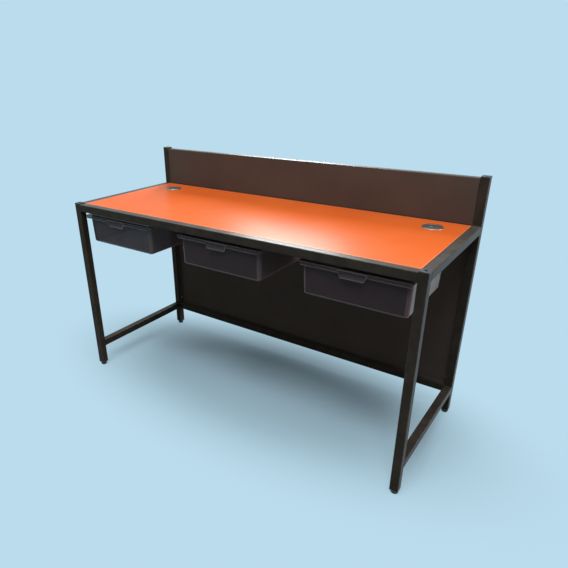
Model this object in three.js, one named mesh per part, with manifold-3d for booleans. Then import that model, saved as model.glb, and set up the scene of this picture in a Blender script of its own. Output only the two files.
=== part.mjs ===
// A jeweller's workshop bench: a welded frame of square steel tube round an orange laminate worktop,
// with an upstand and a modesty panel at the rear, three sliding trays and two cable grommets.
// Millimetres, +Z up. The origin is on the floor under the middle, the front faces -Y.
import * as THREE from "three";
import { mergeVertices } from "three/addons/utils/BufferGeometryUtils.js";
import Module from "manifold-3d";

// Overall sizes
const benchWidth = 1500;
const benchDepth = 580;
const worktopHeight = 785;
const postHeight = 950;

// Square tube of the frame
const frameTube = 30;
const frameWall = 2;
const frameCorner = 3;
const lowRailHeight = 98;

// Worktop: a core board with a laminate face and an edge band, on steel angles
const boardThickness = 18;
const laminateThickness = 1;
const edgingThickness = 2;
const worktopGap = 1.5;
const ledgeLeg = 20;
const ledgeThickness = 3;

// Folded sheet panels
const sheetThickness = 1.5;
const panelGap = 0.5;
const panelSetback = 1;
const upstandDrop = 2;
const upstandFlange = 25;
const modestyFlange = 22;

// Tube caps and feet
const capOverhang = 0.5;
const capThickness = 2;
const capCrown = 2;
const plugDepth = 14;
const footHeight = 18;
const footCollar = 3;
const footDiameter = 26;
const footEdgeRadius = 5;

// Trays
const trayCount = 3;
const trayWidth = 360;
const trayLength = 302;
const trayHeight = 118;
const trayWall = 2.2;
const trayDraft = 4;
const trayCorner = 18;
const trayBaseRadius = 9;
const trayRim = 8;
const trayRimThickness = 3;
const trayFrontRim = 14;
const trayFrontCorner = 6;
const trayLip = 13;
const trayLipThickness = 2.5;
const traySetback = 30;
const trayHeadroom = 6;
const traySideGap = 7.5;
const pullWidth = 98;
const pullTaper = 9;
const pullHeight = 28;
const pullProud = 2;
const pullCorner = 4;

// Tray runners
const runnerWall = 1.5;
const runnerFlange = 20;
const runnerLip = 7;
const runnerKicker = 5;
const runnerFrontGap = 2;
const runnerScrewInset = 30;

// Grommets
const grommetHole = 60;
const grommetFlange = 74;
const grommetFlangeHeight = 2.5;
const grommetWall = 4.5;
const grommetDepth = 24;
const grommetSide = 138;
const grommetRear = 92;
const lidThickness = 3;
const lidShoulder = 3;
const slotWidth = 17;
const slotReach = 19;

// Screws
const screwDiameter = 3;
const screwHead = 8;
const screwHeadHeight = 3;
const screwBite = 10;
const worktopScrewX = 261;
const modestyScrewInset = 32;

// Clearances
const turnedGap = 0.3;
const plugGap = 0.3;
const slideGap = 0.3;
const slideSide = 1;
const slideTop = 1;

// Facet counts
const cornerSteps = 3;
const traySteps = 4;
const roundSteps = 32;
const lidSteps = 24;
const footSteps = 16;
const screwSteps = 12;

// Places that follow from the sizes
const halfWidth = benchWidth / 2;
const halfDepth = benchDepth / 2;
const legX = halfWidth - frameTube / 2;
const legY = halfDepth - frameTube / 2;
const innerX = halfWidth - frameTube;
const innerY = halfDepth - frameTube;
const topRailZ = worktopHeight - frameTube / 2;
const lowRailZ = lowRailHeight + frameTube / 2;
const boardTop = worktopHeight - laminateThickness;
const boardUnder = boardTop - boardThickness;
const edgingX = innerX - worktopGap;
const edgingY = innerY - worktopGap;
const boardX = edgingX - edgingThickness;
const boardY = edgingY - edgingThickness;
const ledgeUnder = boardUnder - ledgeThickness;
const rimTop = Math.min(worktopHeight - frameTube, boardUnder - ledgeLeg) - trayHeadroom;
const trayFront = -halfDepth + traySetback;
const trayMiddleY = trayFront + trayLength / 2;
const rimHalf = trayWidth / 2 + trayRim;
const runnerHalf = rimHalf + slideSide + runnerWall;
const trayPitch = innerX - traySideGap - runnerHalf;
const runnerFront = -innerY + ledgeLeg + runnerFrontGap;
const runnerRear = trayFront + trayLength + trayRim + slideSide + runnerWall;
const grommetX = halfWidth - grommetSide;
const grommetY = innerY - grommetRear;
const panelX = innerX - panelGap;
const upstandFront = innerY + panelSetback;
const upstandTop = postHeight - upstandDrop;
const modestyRear = halfDepth - panelSetback;
const modestyLow = lowRailHeight + frameTube;
const modestyHigh = worktopHeight - frameTube - panelGap;
const modestyScrewY = modestyRear - modestyFlange / 2;

const steelPaint = { color: 0x2b2826, roughness: 0.45, metalness: 0.35 };
const panelPaint = { color: 0x352d29, roughness: 0.5, metalness: 0.3 };
const blackPlastic = { color: 0x17181a, roughness: 0.55, metalness: 0 };
const orangeLaminate = { color: 0xf0702c, roughness: 0.35, metalness: 0 };
const boardCore = { color: 0x9a7650, roughness: 0.85, metalness: 0 };
const smokedPlastic = { color: 0x6f6a70, roughness: 0.2, metalness: 0 };
const runnerMetal = { color: 0x8f9194, roughness: 0.4, metalness: 0.9 };
const screwSteel = { color: 0xa8a8a6, roughness: 0.35, metalness: 0.9 };
const grommetMetal = { color: 0x9b9c9c, roughness: 0.35, metalness: 0.8 };

const wasm = await Module();
wasm.setup();
const bench = new THREE.Group();

function addPart(name, geometry, finish, x = 0, y = 0, z = 0) {
  const mesh = new THREE.Mesh(geometry, new THREE.MeshStandardMaterial(finish));
  mesh.name = name;
  mesh.position.set(x, y, z);
  bench.add(mesh);
  return mesh;
}

// A closed geometry as a solid for joins and cuts
function toSolid(geometry) {
  const bare = geometry.clone();
  bare.deleteAttribute("normal");
  bare.deleteAttribute("uv");
  const merged = mergeVertices(bare, 1e-4);
  return new wasm.Manifold(new wasm.Mesh({
    numProp: 3,
    vertProperties: Float32Array.from(merged.attributes.position.array),
    triVerts: Uint32Array.from(merged.index.array),
  }));
}

function toGeometry(solid) {
  const mesh = solid.getMesh();
  const geometry = new THREE.BufferGeometry();
  geometry.setAttribute("position", new THREE.BufferAttribute(mesh.vertProperties, 3));
  geometry.setIndex(new THREE.BufferAttribute(mesh.triVerts, 1));
  return geometry;
}

function joined(first, ...others) {
  return others.reduce((sum, next) => sum.add(next), first);
}

function cut(first, ...others) {
  return others.reduce((rest, next) => rest.subtract(next), first);
}

// A box between two corners
function box(x0, y0, z0, x1, y1, z1) {
  const geometry = new THREE.BoxGeometry(x1 - x0, y1 - y0, z1 - z0);
  return geometry.translate((x0 + x1) / 2, (y0 + y1) / 2, (z0 + z1) / 2);
}

// Points round a rectangle about the origin with round corners, counter-clockwise
function roundedOutline(width, height, radius, steps = cornerSteps) {
  const points = [];
  for (let quarter = 0; quarter < 4; quarter++) {
    const signX = quarter === 0 || quarter === 3 ? 1 : -1;
    const signY = quarter < 2 ? 1 : -1;
    for (let step = 0; step <= steps; step++) {
      const angle = (quarter + step / steps) * (Math.PI / 2);
      const x = signX * (width / 2 - radius) + radius * Math.cos(angle);
      points.push(new THREE.Vector2(x, signY * (height / 2 - radius) + radius * Math.sin(angle)));
    }
  }
  return points;
}

function extruded(shape, depth, curveSegments = cornerSteps) {
  return new THREE.ExtrudeGeometry(shape, { depth, bevelEnabled: false, curveSegments });
}

function roundedBlock(width, radius, depth) {
  return extruded(new THREE.Shape(roundedOutline(width, width, radius)), depth);
}

// Radius inside a tube's corners
function boreCorner(wall, corner) {
  return Math.max(corner - wall, wall / 4);
}

// Square tube along +Z from the origin
function tube(size, wall, corner, length) {
  const shape = new THREE.Shape(roundedOutline(size, size, corner));
  const bore = size - 2 * wall;
  shape.holes.push(new THREE.Path(roundedOutline(bore, bore, boreCorner(wall, corner))));
  return extruded(shape, length);
}

// A turned solid along +Z from points given as radius and height
function turned(points, steps) {
  const profile = points.map(([radius, height]) => new THREE.Vector2(radius, height));
  return new THREE.LatheGeometry(profile, steps).rotateX(Math.PI / 2);
}

function rod(diameter, z0, z1, steps = screwSteps) {
  const radius = diameter / 2;
  return turned([[0, z0], [radius, z0], [radius, z1], [0, z1]], steps);
}

// Legs and rear posts: open tubes that stand on the feet, the posts drilled for the panel's screws
const sides = [["left", -1], ["right", 1]];
const screwHole = screwDiameter + 2 * turnedGap;
const modestyScrewHeights = [modestyLow + modestyScrewInset, modestyHigh - modestyScrewInset];
const frontLeg = tube(frameTube, frameWall, frameCorner, worktopHeight - footHeight);
const postTube = toSolid(tube(frameTube, frameWall, frameCorner, postHeight - footHeight));
for (const [side, sign] of sides) {
  const holes = modestyScrewHeights.map((height) => {
    const hole = rod(screwHole, 0, frameTube).rotateY(-sign * (Math.PI / 2));
    return toSolid(hole.translate(0, modestyScrewY - legY, height - footHeight));
  });
  const rearPost = toGeometry(cut(postTube, ...holes));
  addPart(`front_${side}_leg`, frontLeg, steelPaint, sign * legX, -legY, footHeight);
  addPart(`rear_${side}_post`, rearPost, steelPaint, sign * legX, legY, footHeight);
}

// Rails, butted between the legs and posts: four at the top, and one low at each side and at the rear
const longRail = tube(frameTube, frameWall, frameCorner, 2 * innerX).rotateY(Math.PI / 2);
const sideRail = tube(frameTube, frameWall, frameCorner, 2 * innerY).rotateX(-Math.PI / 2);
addPart("front_top_rail", longRail, steelPaint, -innerX, -legY, topRailZ);
addPart("rear_top_rail", longRail, steelPaint, -innerX, legY, topRailZ);
addPart("rear_bottom_rail", longRail, steelPaint, -innerX, legY, lowRailZ);
for (const [side, sign] of sides) {
  addPart(`${side}_top_rail`, sideRail, steelPaint, sign * legX, -innerY, topRailZ);
  addPart(`${side}_bottom_rail`, sideRail, steelPaint, sign * legX, -innerY, lowRailZ);
}

// Caps: a crowned flange over the tube's end, and a plug that fills its bore
const plugWidth = frameTube - 2 * frameWall - 2 * plugGap;
const plugCorner = boreCorner(frameWall, frameCorner);
const capWidth = frameTube + 2 * capOverhang;
const capCorner = frameCorner + capOverhang;
const crownWidth = capWidth - 2 * capCrown;
const crownShape = new THREE.Shape(roundedOutline(crownWidth, crownWidth, capCorner));
const crown = new THREE.ExtrudeGeometry(crownShape, {
  depth: capThickness,
  bevelThickness: capCrown,
  bevelSize: capCrown,
  bevelSegments: 2,
  curveSegments: cornerSteps,
});
const aboveTube = box(-capWidth, -capWidth, 0, capWidth, capWidth, capWidth);
const capTop = toSolid(crown).intersect(toSolid(aboveTube));
const capPlug = roundedBlock(plugWidth, plugCorner, plugDepth + capThickness);
const tubeCap = toGeometry(joined(capTop, toSolid(capPlug.translate(0, 0, -plugDepth))));
for (const [side, sign] of sides) {
  addPart(`front_${side}_cap`, tubeCap, blackPlastic, sign * legX, -legY, worktopHeight);
  addPart(`rear_${side}_cap`, tubeCap, blackPlastic, sign * legX, legY, postHeight);
}

// Feet: a round glide under a square collar, with a plug up the tube
const footRadius = footDiameter / 2;
const footArc = [0, 1, 2, 3].map((step) => {
  const angle = (step / 3) * (Math.PI / 2);
  const radius = footRadius - footEdgeRadius + footEdgeRadius * Math.sin(angle);
  return [radius, footEdgeRadius - footEdgeRadius * Math.cos(angle)];
});
const glide = toSolid(turned([[0, 0], ...footArc, [footRadius, footHeight], [0, footHeight]], footSteps));
const collar = roundedBlock(frameTube, frameCorner, footCollar);
const footPlug = roundedBlock(plugWidth, plugCorner, plugDepth + footCollar);
const collarZ = footHeight - footCollar;
const footTop = [collar, footPlug].map((block) => toSolid(block.translate(0, 0, collarZ)));
const foot = toGeometry(joined(glide, ...footTop));
for (const [side, sign] of sides) {
  addPart(`front_${side}_foot`, foot, blackPlastic, sign * legX, -legY);
  addPart(`rear_${side}_foot`, foot, blackPlastic, sign * legX, legY);
}

// A screw along +Z: the head below the origin, the shank above it
function screw(length) {
  const head = screwHead / 2;
  const shank = screwDiameter / 2;
  return turned([
    [0, -screwHeadHeight],
    [head * 0.7, -screwHeadHeight],
    [head, -screwHeadHeight / 2],
    [head, 0],
    [shank, 0],
    [shank, length - shank],
    [0, length],
  ], screwSteps);
}

// Places of the screws that go up into the board: through the ledges and through the runners
const worktopScrews = [];
for (const [end, sign] of [["front", -1], ["rear", 1]]) {
  for (const [side, way] of sides) {
    const name = `${end}_${side}_worktop_screw`;
    worktopScrews.push([name, way * worktopScrewX, sign * (innerY - ledgeLeg / 2)]);
  }
}
const trayNames = ["left_tray", "middle_tray", "right_tray"];
const trayXs = trayNames.map((name, index) => (index - (trayCount - 1) / 2) * trayPitch);
const runnerScrewX = runnerHalf - runnerFlange / 2;
const runnerScrewYs = [["front", runnerFront + runnerScrewInset], ["rear", runnerRear - runnerScrewInset]];
const runnerScrews = [];
trayNames.forEach((tray, index) => {
  for (const [side, way] of sides) {
    for (const [end, y] of runnerScrewYs) {
      runnerScrews.push([`${tray}_${side}_runner_${end}_screw`, trayXs[index] + way * runnerScrewX, y]);
    }
  }
});
const bite = toSolid(rod(screwHole, boardUnder - 1, boardUnder + screwBite + turnedGap));
const bites = [...worktopScrews, ...runnerScrews].map(([, x, y]) => bite.translate([x, y, 0]));

// Worktop: the core with its screw holes, the laminate on it and the band round both
const grommetCut = toSolid(rod(grommetHole, boardUnder - 1, worktopHeight + 1, roundSteps));
const grommetCuts = sides.map(([, sign]) => grommetCut.translate([sign * grommetX, grommetY, 0]));
const flangeCut = toSolid(rod(grommetFlange + 2 * turnedGap, boardTop - 1, worktopHeight + 1, roundSteps));
const flangeCuts = sides.map(([, sign]) => flangeCut.translate([sign * grommetX, grommetY, 0]));
const core = toSolid(box(-boardX, -boardY, boardUnder, boardX, boardY, boardTop));
const laminate = toSolid(box(-boardX, -boardY, boardTop, boardX, boardY, worktopHeight));
const edgingOuter = toSolid(box(-edgingX, -edgingY, boardUnder, edgingX, edgingY, worktopHeight));
const edgingInner = toSolid(box(-boardX, -boardY, boardUnder - 1, boardX, boardY, worktopHeight + 1));
addPart("worktop_board", toGeometry(cut(core, ...grommetCuts, ...bites)), boardCore);
addPart("worktop_laminate", toGeometry(cut(laminate, ...flangeCuts)), orangeLaminate);
addPart("worktop_edging", toGeometry(cut(edgingOuter, edgingInner)), orangeLaminate);

// Ledges: steel angles on the inner faces of the front and rear rails, under the board
const ledgeHole = toSolid(rod(screwHole, ledgeUnder - 1, boardUnder + 1));
for (const [end, sign] of [["front", -1], ["rear", 1]]) {
  const wallY = sign * innerY;
  const edges = [wallY - sign * ledgeLeg, wallY].sort((a, b) => a - b);
  const webs = [wallY - sign * ledgeThickness, wallY].sort((a, b) => a - b);
  const shelf = toSolid(box(-innerX, edges[0], ledgeUnder, innerX, edges[1], boardUnder));
  const web = toSolid(box(-innerX, webs[0], boardUnder - ledgeLeg, innerX, webs[1], boardUnder));
  const holes = worktopScrews
    .filter(([name]) => name.startsWith(end))
    .map(([, x, y]) => ledgeHole.translate([x, y, 0]));
  addPart(`${end}_worktop_ledge`, toGeometry(cut(joined(shelf, web), ...holes)), steelPaint);
}
const worktopScrew = screw(ledgeThickness + screwBite);
for (const [name, x, y] of worktopScrews) {
  addPart(name, worktopScrew, screwSteel, x, y, ledgeUnder - turnedGap);
}

// A sheet folded back along all four edges: its face at one depth, its flanges reaching to another
function foldedPanel(face, flangeEnd, low, high) {
  const behind = face + Math.sign(flangeEnd - face) * sheetThickness;
  const wall = (x0, y1, z0, x1, z1) =>
    toSolid(box(x0, Math.min(face, y1), z0, x1, Math.max(face, y1), z1));
  return joined(
    wall(-panelX, behind, low, panelX, high),
    wall(-panelX, flangeEnd, low, panelX, low + sheetThickness),
    wall(-panelX, flangeEnd, high - sheetThickness, panelX, high),
    wall(-panelX, flangeEnd, low, -panelX + sheetThickness, high),
    wall(panelX - sheetThickness, flangeEnd, low, panelX, high),
  );
}

// Upstand: its face flush with the posts' fronts, standing on the rear rail
const upstand = foldedPanel(upstandFront, upstandFront + upstandFlange, worktopHeight, upstandTop);
addPart("upstand_panel", toGeometry(upstand), panelPaint);

// Modesty panel: its face near the posts' backs, screwed to the posts through its side flanges
const modestyPan = foldedPanel(modestyRear, modestyRear - modestyFlange, modestyLow, modestyHigh);
const modestyHole = rod(screwHole, -panelX - sheetThickness, panelX + sheetThickness).rotateY(Math.PI / 2);
const modestyHoles = modestyScrewHeights.map((z) => toSolid(modestyHole).translate([0, modestyScrewY, z]));
addPart("modesty_panel", toGeometry(cut(modestyPan, ...modestyHoles)), panelPaint);
const modestyScrewX = panelX - sheetThickness - turnedGap;
for (const [side, sign] of sides) {
  modestyScrewHeights.forEach((z, index) => {
    const name = `modesty_${side}_${["lower", "upper"][index]}_screw`;
    const pin = screw(sheetThickness + frameWall + screwBite).rotateY(sign * (Math.PI / 2));
    addPart(name, pin, screwSteel, sign * modestyScrewX, modestyScrewY, z);
  });
}

// One ring of points round the tray at a height, pulled in by an inset
function trayRing(inset, z) {
  const radius = Math.max(trayCorner - inset, trayWall);
  const outline = roundedOutline(trayWidth - 2 * inset, trayLength - 2 * inset, radius, traySteps);
  return outline.map((point) => [point.x, point.y, z]);
}

// A closed skin through a row of rings, with its first and last rings filled
function skin(rings) {
  const count = rings[0].length;
  const faces = [];
  for (let row = 0; row + 1 < rings.length; row++) {
    for (let i = 0; i < count; i++) {
      const a = row * count + i;
      const b = row * count + ((i + 1) % count);
      faces.push(a, b, b + count, a, b + count, a + count);
    }
  }
  const last = (rings.length - 1) * count;
  for (let i = 1; i + 1 < count; i++) {
    faces.push(0, i + 1, i, last, last + i, last + i + 1);
  }
  const geometry = new THREE.BufferGeometry();
  geometry.setAttribute("position", new THREE.Float32BufferAttribute(rings.flat(2), 3));
  geometry.setIndex(faces);
  return geometry;
}

// Outline of the finger pull on the tray's front, narrower below
function pullOutline() {
  const low = trayHeight - pullHeight;
  const wide = pullWidth / 2;
  const narrow = wide - pullTaper;
  const slant = pullTaper * (pullCorner / pullHeight);
  const shape = new THREE.Shape();
  shape.moveTo(wide, trayHeight);
  shape.lineTo(-wide, trayHeight);
  shape.lineTo(-narrow - slant, low + pullCorner);
  shape.quadraticCurveTo(-narrow, low, -narrow + pullCorner, low);
  shape.lineTo(narrow - pullCorner, low);
  shape.quadraticCurveTo(narrow, low, narrow + slant, low + pullCorner);
  return shape;
}

// Trays: a drafted shell with a round base edge and a rim. The rim is wider at the front, where a lip and
// a finger pull hang from it, clear of the wall.
function trayGeometry() {
  const low = trayBaseRadius * 0.3;
  const rimUnder = trayHeight - trayRimThickness;
  const shell = toSolid(skin([
    trayRing(trayDraft + trayBaseRadius, 0),
    trayRing(trayDraft + low, low),
    trayRing(trayDraft, trayBaseRadius),
    trayRing(0, rimUnder),
    trayRing(-trayRim, rimUnder),
    trayRing(-trayRim, trayHeight),
    trayRing(trayWall, trayHeight),
    trayRing(trayDraft + trayWall, trayBaseRadius),
    trayRing(trayDraft + trayWall + low, low + trayWall),
    trayRing(trayDraft + trayBaseRadius, trayWall),
  ]));
  const lipFront = -trayLength / 2 - trayFrontRim;
  const lipX = rimHalf - trayFrontCorner;
  const shelfLength = trayFrontRim + trayCorner + trayFrontCorner;
  const shelfOutline = roundedOutline(2 * rimHalf, shelfLength, trayFrontCorner, traySteps);
  const shelf = extruded(new THREE.Shape(shelfOutline), trayRimThickness)
    .translate(0, lipFront + shelfLength / 2, rimUnder);
  const inside = toSolid(skin([trayRing(trayWall, 0), trayRing(trayWall, trayHeight + trayWall)]));
  const lip = toSolid(
    box(-lipX, lipFront, trayHeight - trayLip, lipX, lipFront + trayLipThickness, trayHeight));
  const pull = extruded(pullOutline(), pullProud + trayLipThickness)
    .rotateX(Math.PI / 2)
    .translate(0, lipFront + trayLipThickness, 0);
  return toGeometry(joined(shell, cut(toSolid(shelf), inside), lip, toSolid(pull)));
}
const tray = trayGeometry();
trayNames.forEach((name, index) => {
  addPart(name, tray, smokedPlastic, trayXs[index], trayMiddleY, rimTop - trayHeight);
});

// Runners: an extrusion with a mounting flange, a kicker over the tray's rim and a lip under it
const lipTop = rimTop - trayRimThickness - slideGap;
const kickerUnder = rimTop + slideTop;
const runnerInner = runnerHalf - runnerWall;
const runnerOutline = [
  [runnerHalf, lipTop - runnerWall],
  [runnerHalf, boardUnder],
  [runnerHalf - runnerFlange, boardUnder],
  [runnerHalf - runnerFlange, boardUnder - runnerWall],
  [runnerInner, boardUnder - runnerWall],
  [runnerInner, kickerUnder + runnerWall],
  [runnerInner - runnerKicker, kickerUnder + runnerWall],
  [runnerInner - runnerKicker, kickerUnder],
  [runnerInner, kickerUnder],
  [runnerInner, lipTop],
  [runnerInner - runnerLip, lipTop],
  [runnerInner - runnerLip, lipTop - runnerWall],
].map(([x, z]) => new THREE.Vector2(x, z));
const runnerHole = toSolid(rod(screwHole, boardUnder - 2 * runnerWall, boardUnder + 1));
const runnerBar = extruded(new THREE.Shape(runnerOutline), runnerRear - runnerFront)
  .rotateX(Math.PI / 2)
  .translate(0, runnerRear, 0);
const runnerStop = box(runnerInner - runnerLip, runnerRear - runnerWall, lipTop - runnerWall,
  runnerHalf, runnerRear, kickerUnder + runnerWall);
const runnerHoles = runnerScrewYs.map(([, y]) => runnerHole.translate([runnerScrewX, y, 0]));
const rightRunner = cut(joined(toSolid(runnerBar), toSolid(runnerStop)), ...runnerHoles);
const runners = { left: toGeometry(rightRunner.mirror([1, 0, 0])), right: toGeometry(rightRunner) };
const runnerScrew = screw(runnerWall + screwBite);
trayNames.forEach((name, index) => {
  for (const [side] of sides) {
    addPart(`${name}_${side}_runner`, runners[side], runnerMetal, trayXs[index]);
  }
});
for (const [name, x, y] of runnerScrews) {
  addPart(name, runnerScrew, screwSteel, x, y, boardUnder - runnerWall - turnedGap);
}

// Grommets: a sleeve through the board with a shoulder inside, and a slotted lid that turns on it.
// The flange is let into the laminate and sits on the core.
const sleeveRadius = grommetHole / 2 - turnedGap;
const flangeRadius = grommetFlange / 2;
const lidSeatRadius = sleeveRadius - grommetWall + lidShoulder;
const sleeveBore = lidSeatRadius - lidShoulder;
const lidSeat = grommetFlangeHeight - lidThickness;
const sleeve = turned([
  [sleeveBore, -grommetDepth],
  [sleeveRadius, -grommetDepth],
  [sleeveRadius, -laminateThickness],
  [flangeRadius, -laminateThickness],
  [flangeRadius, grommetFlangeHeight / 2],
  [flangeRadius - grommetFlangeHeight / 2, grommetFlangeHeight],
  [lidSeatRadius, grommetFlangeHeight],
  [lidSeatRadius, lidSeat],
  [sleeveBore, lidSeat],
  [sleeveBore, -grommetDepth],
], roundSteps);
const lidRadius = lidSeatRadius - turnedGap;
const slotHalf = slotWidth / 2;
const slotAngle = Math.asin(slotHalf / lidRadius);
const lidShape = new THREE.Shape();
lidShape.absarc(0, 0, lidRadius, slotAngle - Math.PI / 2, 1.5 * Math.PI - slotAngle);
lidShape.lineTo(-slotHalf, slotReach - lidRadius - slotHalf);
lidShape.absarc(0, slotReach - lidRadius - slotHalf, slotHalf, Math.PI, 0, true);
const lid = extruded(lidShape, lidThickness - turnedGap, lidSteps);
for (const [side, sign] of sides) {
  addPart(`${side}_grommet`, sleeve, grommetMetal, sign * grommetX, grommetY, worktopHeight);
  const lidZ = worktopHeight + lidSeat + turnedGap;
  addPart(`${side}_grommet_lid`, lid, grommetMetal, sign * grommetX, grommetY, lidZ);
}

export default bench;
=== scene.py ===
import math

import bmesh
import bpy
import numpy as np
from mathutils import Matrix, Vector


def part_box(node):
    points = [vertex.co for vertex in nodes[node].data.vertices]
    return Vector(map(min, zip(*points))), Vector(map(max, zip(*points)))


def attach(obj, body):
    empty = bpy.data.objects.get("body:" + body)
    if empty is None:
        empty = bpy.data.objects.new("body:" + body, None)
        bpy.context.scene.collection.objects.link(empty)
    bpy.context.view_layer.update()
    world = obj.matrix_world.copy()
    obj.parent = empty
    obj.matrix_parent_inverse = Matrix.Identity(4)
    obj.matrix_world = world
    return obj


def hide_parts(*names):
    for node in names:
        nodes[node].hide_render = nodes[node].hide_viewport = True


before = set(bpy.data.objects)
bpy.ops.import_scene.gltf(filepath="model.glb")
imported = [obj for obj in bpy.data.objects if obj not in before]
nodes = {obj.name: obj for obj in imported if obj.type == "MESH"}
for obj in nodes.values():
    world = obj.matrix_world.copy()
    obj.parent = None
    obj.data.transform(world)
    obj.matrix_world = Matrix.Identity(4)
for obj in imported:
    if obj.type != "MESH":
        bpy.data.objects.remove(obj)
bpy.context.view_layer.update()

mm = 0.001
tiny = 1e-6  # lengths and shares below this count as nothing
axisX, axisY, axisZ = np.eye(3)
fourCorners = np.array([[1, 1], [-1, 1], [-1, -1], [1, -1]])
print("bench: frame loaded,", len(nodes), "nodes")


def linearColour(hexText):  # sRGB hex to linear RGBA
    parts = np.array([int(hexText[i:i + 2], 16) for i in (1, 3, 5)]) / 255
    linear = np.where(parts <= 0.04045, parts / 12.92, ((parts + 0.055) / 1.055) ** 2.4)
    return (*linear.tolist(), 1.0)


# One node with its settings and its incoming links. A link comes from a socket, or from a node's first
# output, and a colour ramp is given as positions and hex colours.
def addNode(tree, kind, links=None, ramp=(), **settings):
    node = tree.nodes.new(kind)
    for i, (position, colour) in enumerate(ramp):
        node.color_ramp.elements[i].position = position
        node.color_ramp.elements[i].color = linearColour(colour)
    for key, value in settings.items():
        if hasattr(node, key):
            setattr(node, key, value)
        else:
            node.inputs[key.replace("_", " ")].default_value = value
    for socket, source in (links or {}).items():
        tree.links.new(getattr(source, "outputs", [source])[0], node.inputs[socket])
    return node


def newMaterial(name):  # a material with an empty node tree, and its Object coordinates
    material = bpy.data.materials.new(name)
    material.use_nodes = True
    tree = material.node_tree
    tree.nodes.clear()
    return material, tree, addNode(tree, "ShaderNodeTexCoord").outputs["Object"]


def boxOf(node):  # a node's lowest and highest corners as arrays
    low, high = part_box(node)
    return np.array(low), np.array(high)


def smoothStep(value):  # eases from 0 to 1: three squares less two cubes
    value = np.clip(value, 0, 1)
    return value * value * (3 - 2 * value)


# Outline of a rectangle with round corners: four quarter circles joined by straight sides, with the
# outward normal at each point. A support point just past each arc keeps the flats flat in the shading.
def roundedRect(halfA, halfB, radius, steps=6, support=0.0):
    turn = (np.arange(4)[:, None] + np.linspace(0, 1, steps + 1)[None]) * (math.pi / 2)
    normal = np.stack([np.cos(turn), np.sin(turn)], -1)
    points = fourCorners[:, None] * (np.array([halfA, halfB]) - radius) + radius * normal
    if support:
        along = np.stack([-np.sin(turn), np.cos(turn)], -1)
        before = points[:, :1] - support * along[:, :1]
        after = points[:, -1:] + support * along[:, -1:]
        points = np.concatenate([before, points, after], 1)
        normal = np.concatenate([normal[:, :1], normal, normal[:, -1:]], 1)
    return points.reshape(-1, 2), normal.reshape(-1, 2)


# Outline of a polygon with eased corners: at each corner a parabola touches both sides.
def roundedPolygon(corners, radius, steps=3):
    corners = np.asarray(corners, float)
    back = np.roll(corners, 1, 0) - corners
    ahead = np.roll(corners, -1, 0) - corners
    back /= np.linalg.norm(back, axis=1)[:, None]
    ahead /= np.linalg.norm(ahead, axis=1)[:, None]
    share = np.linspace(0, 1, steps + 1)[None, :, None]
    start = corners + radius * back
    end = corners + radius * ahead
    curve = ((1 - share) ** 2 * start[:, None] + 2 * share * (1 - share) * corners[:, None]
             + share ** 2 * end[:, None])
    return curve.reshape(-1, 2)


# Distance round a closed outline at each of its points, and all the way round at the end.
def outlineReach(points):
    loop = np.vstack([points, points[:1]])
    return np.concatenate([[0], np.cumsum(np.linalg.norm(np.diff(loop, axis=0), axis=1))])


# Points and outward normals at given distances round a closed outline, interpolated on straight lines.
def alongOutline(points, normals, marks):
    reach = outlineReach(points)
    found = []
    for rows in (points, normals):
        loop = np.vstack([rows, rows[:1]])
        found.append(np.stack([np.interp(marks, reach, loop[:, i]) for i in (0, 1)], -1))
    flat, out = found
    return flat, out / np.linalg.norm(out, axis=1)[:, None]


# A surface of one outline carried through rings: ring k is the outline moved outwards along its normals
# by the ring's offset, at the ring's height, laid out on the three axes given.
def outlineRings(points, normals, rings, axes, origin):
    rings = np.asarray(rings, float)
    flat = points[None] + rings[:, 0, None, None] * normals[None]
    return (np.asarray(origin, float) + flat[..., :1] * axes[0] + flat[..., 1:] * axes[1]
            + rings[:, 1, None, None] * axes[2])


# A turned surface: the point at (angle u, profile step v) is radius(v) from the axis at height(v).
def turnedRings(profile, steps, axes, origin):
    profile = np.asarray(profile, float)
    angle = np.linspace(0, 2 * math.pi, steps, endpoint=False)
    circle = np.cos(angle)[:, None] * axes[0] + np.sin(angle)[:, None] * axes[1]
    return (np.asarray(origin, float) + profile[:, 0, None, None] * circle[None]
            + profile[:, 1, None, None] * axes[2])


# A straight bar: the section's points stand on the first two axes, at both ends along the third.
def straightBar(section, ends, axes, origin):
    flat = np.asarray(origin, float) + section[:, :1] * axes[0] + section[:, 1:] * axes[1]
    return np.stack([flat + end * axes[2] for end in ends])


# Arc of a profile in (offset, height): a circle about a centre between two angles in degrees.
def arc(centreA, centreB, radius, start, end, steps=5):
    angle = np.radians(np.linspace(start, end, steps + 1))
    return np.stack([centreA + radius * np.cos(angle), centreB + radius * np.sin(angle)], 1).tolist()


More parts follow.
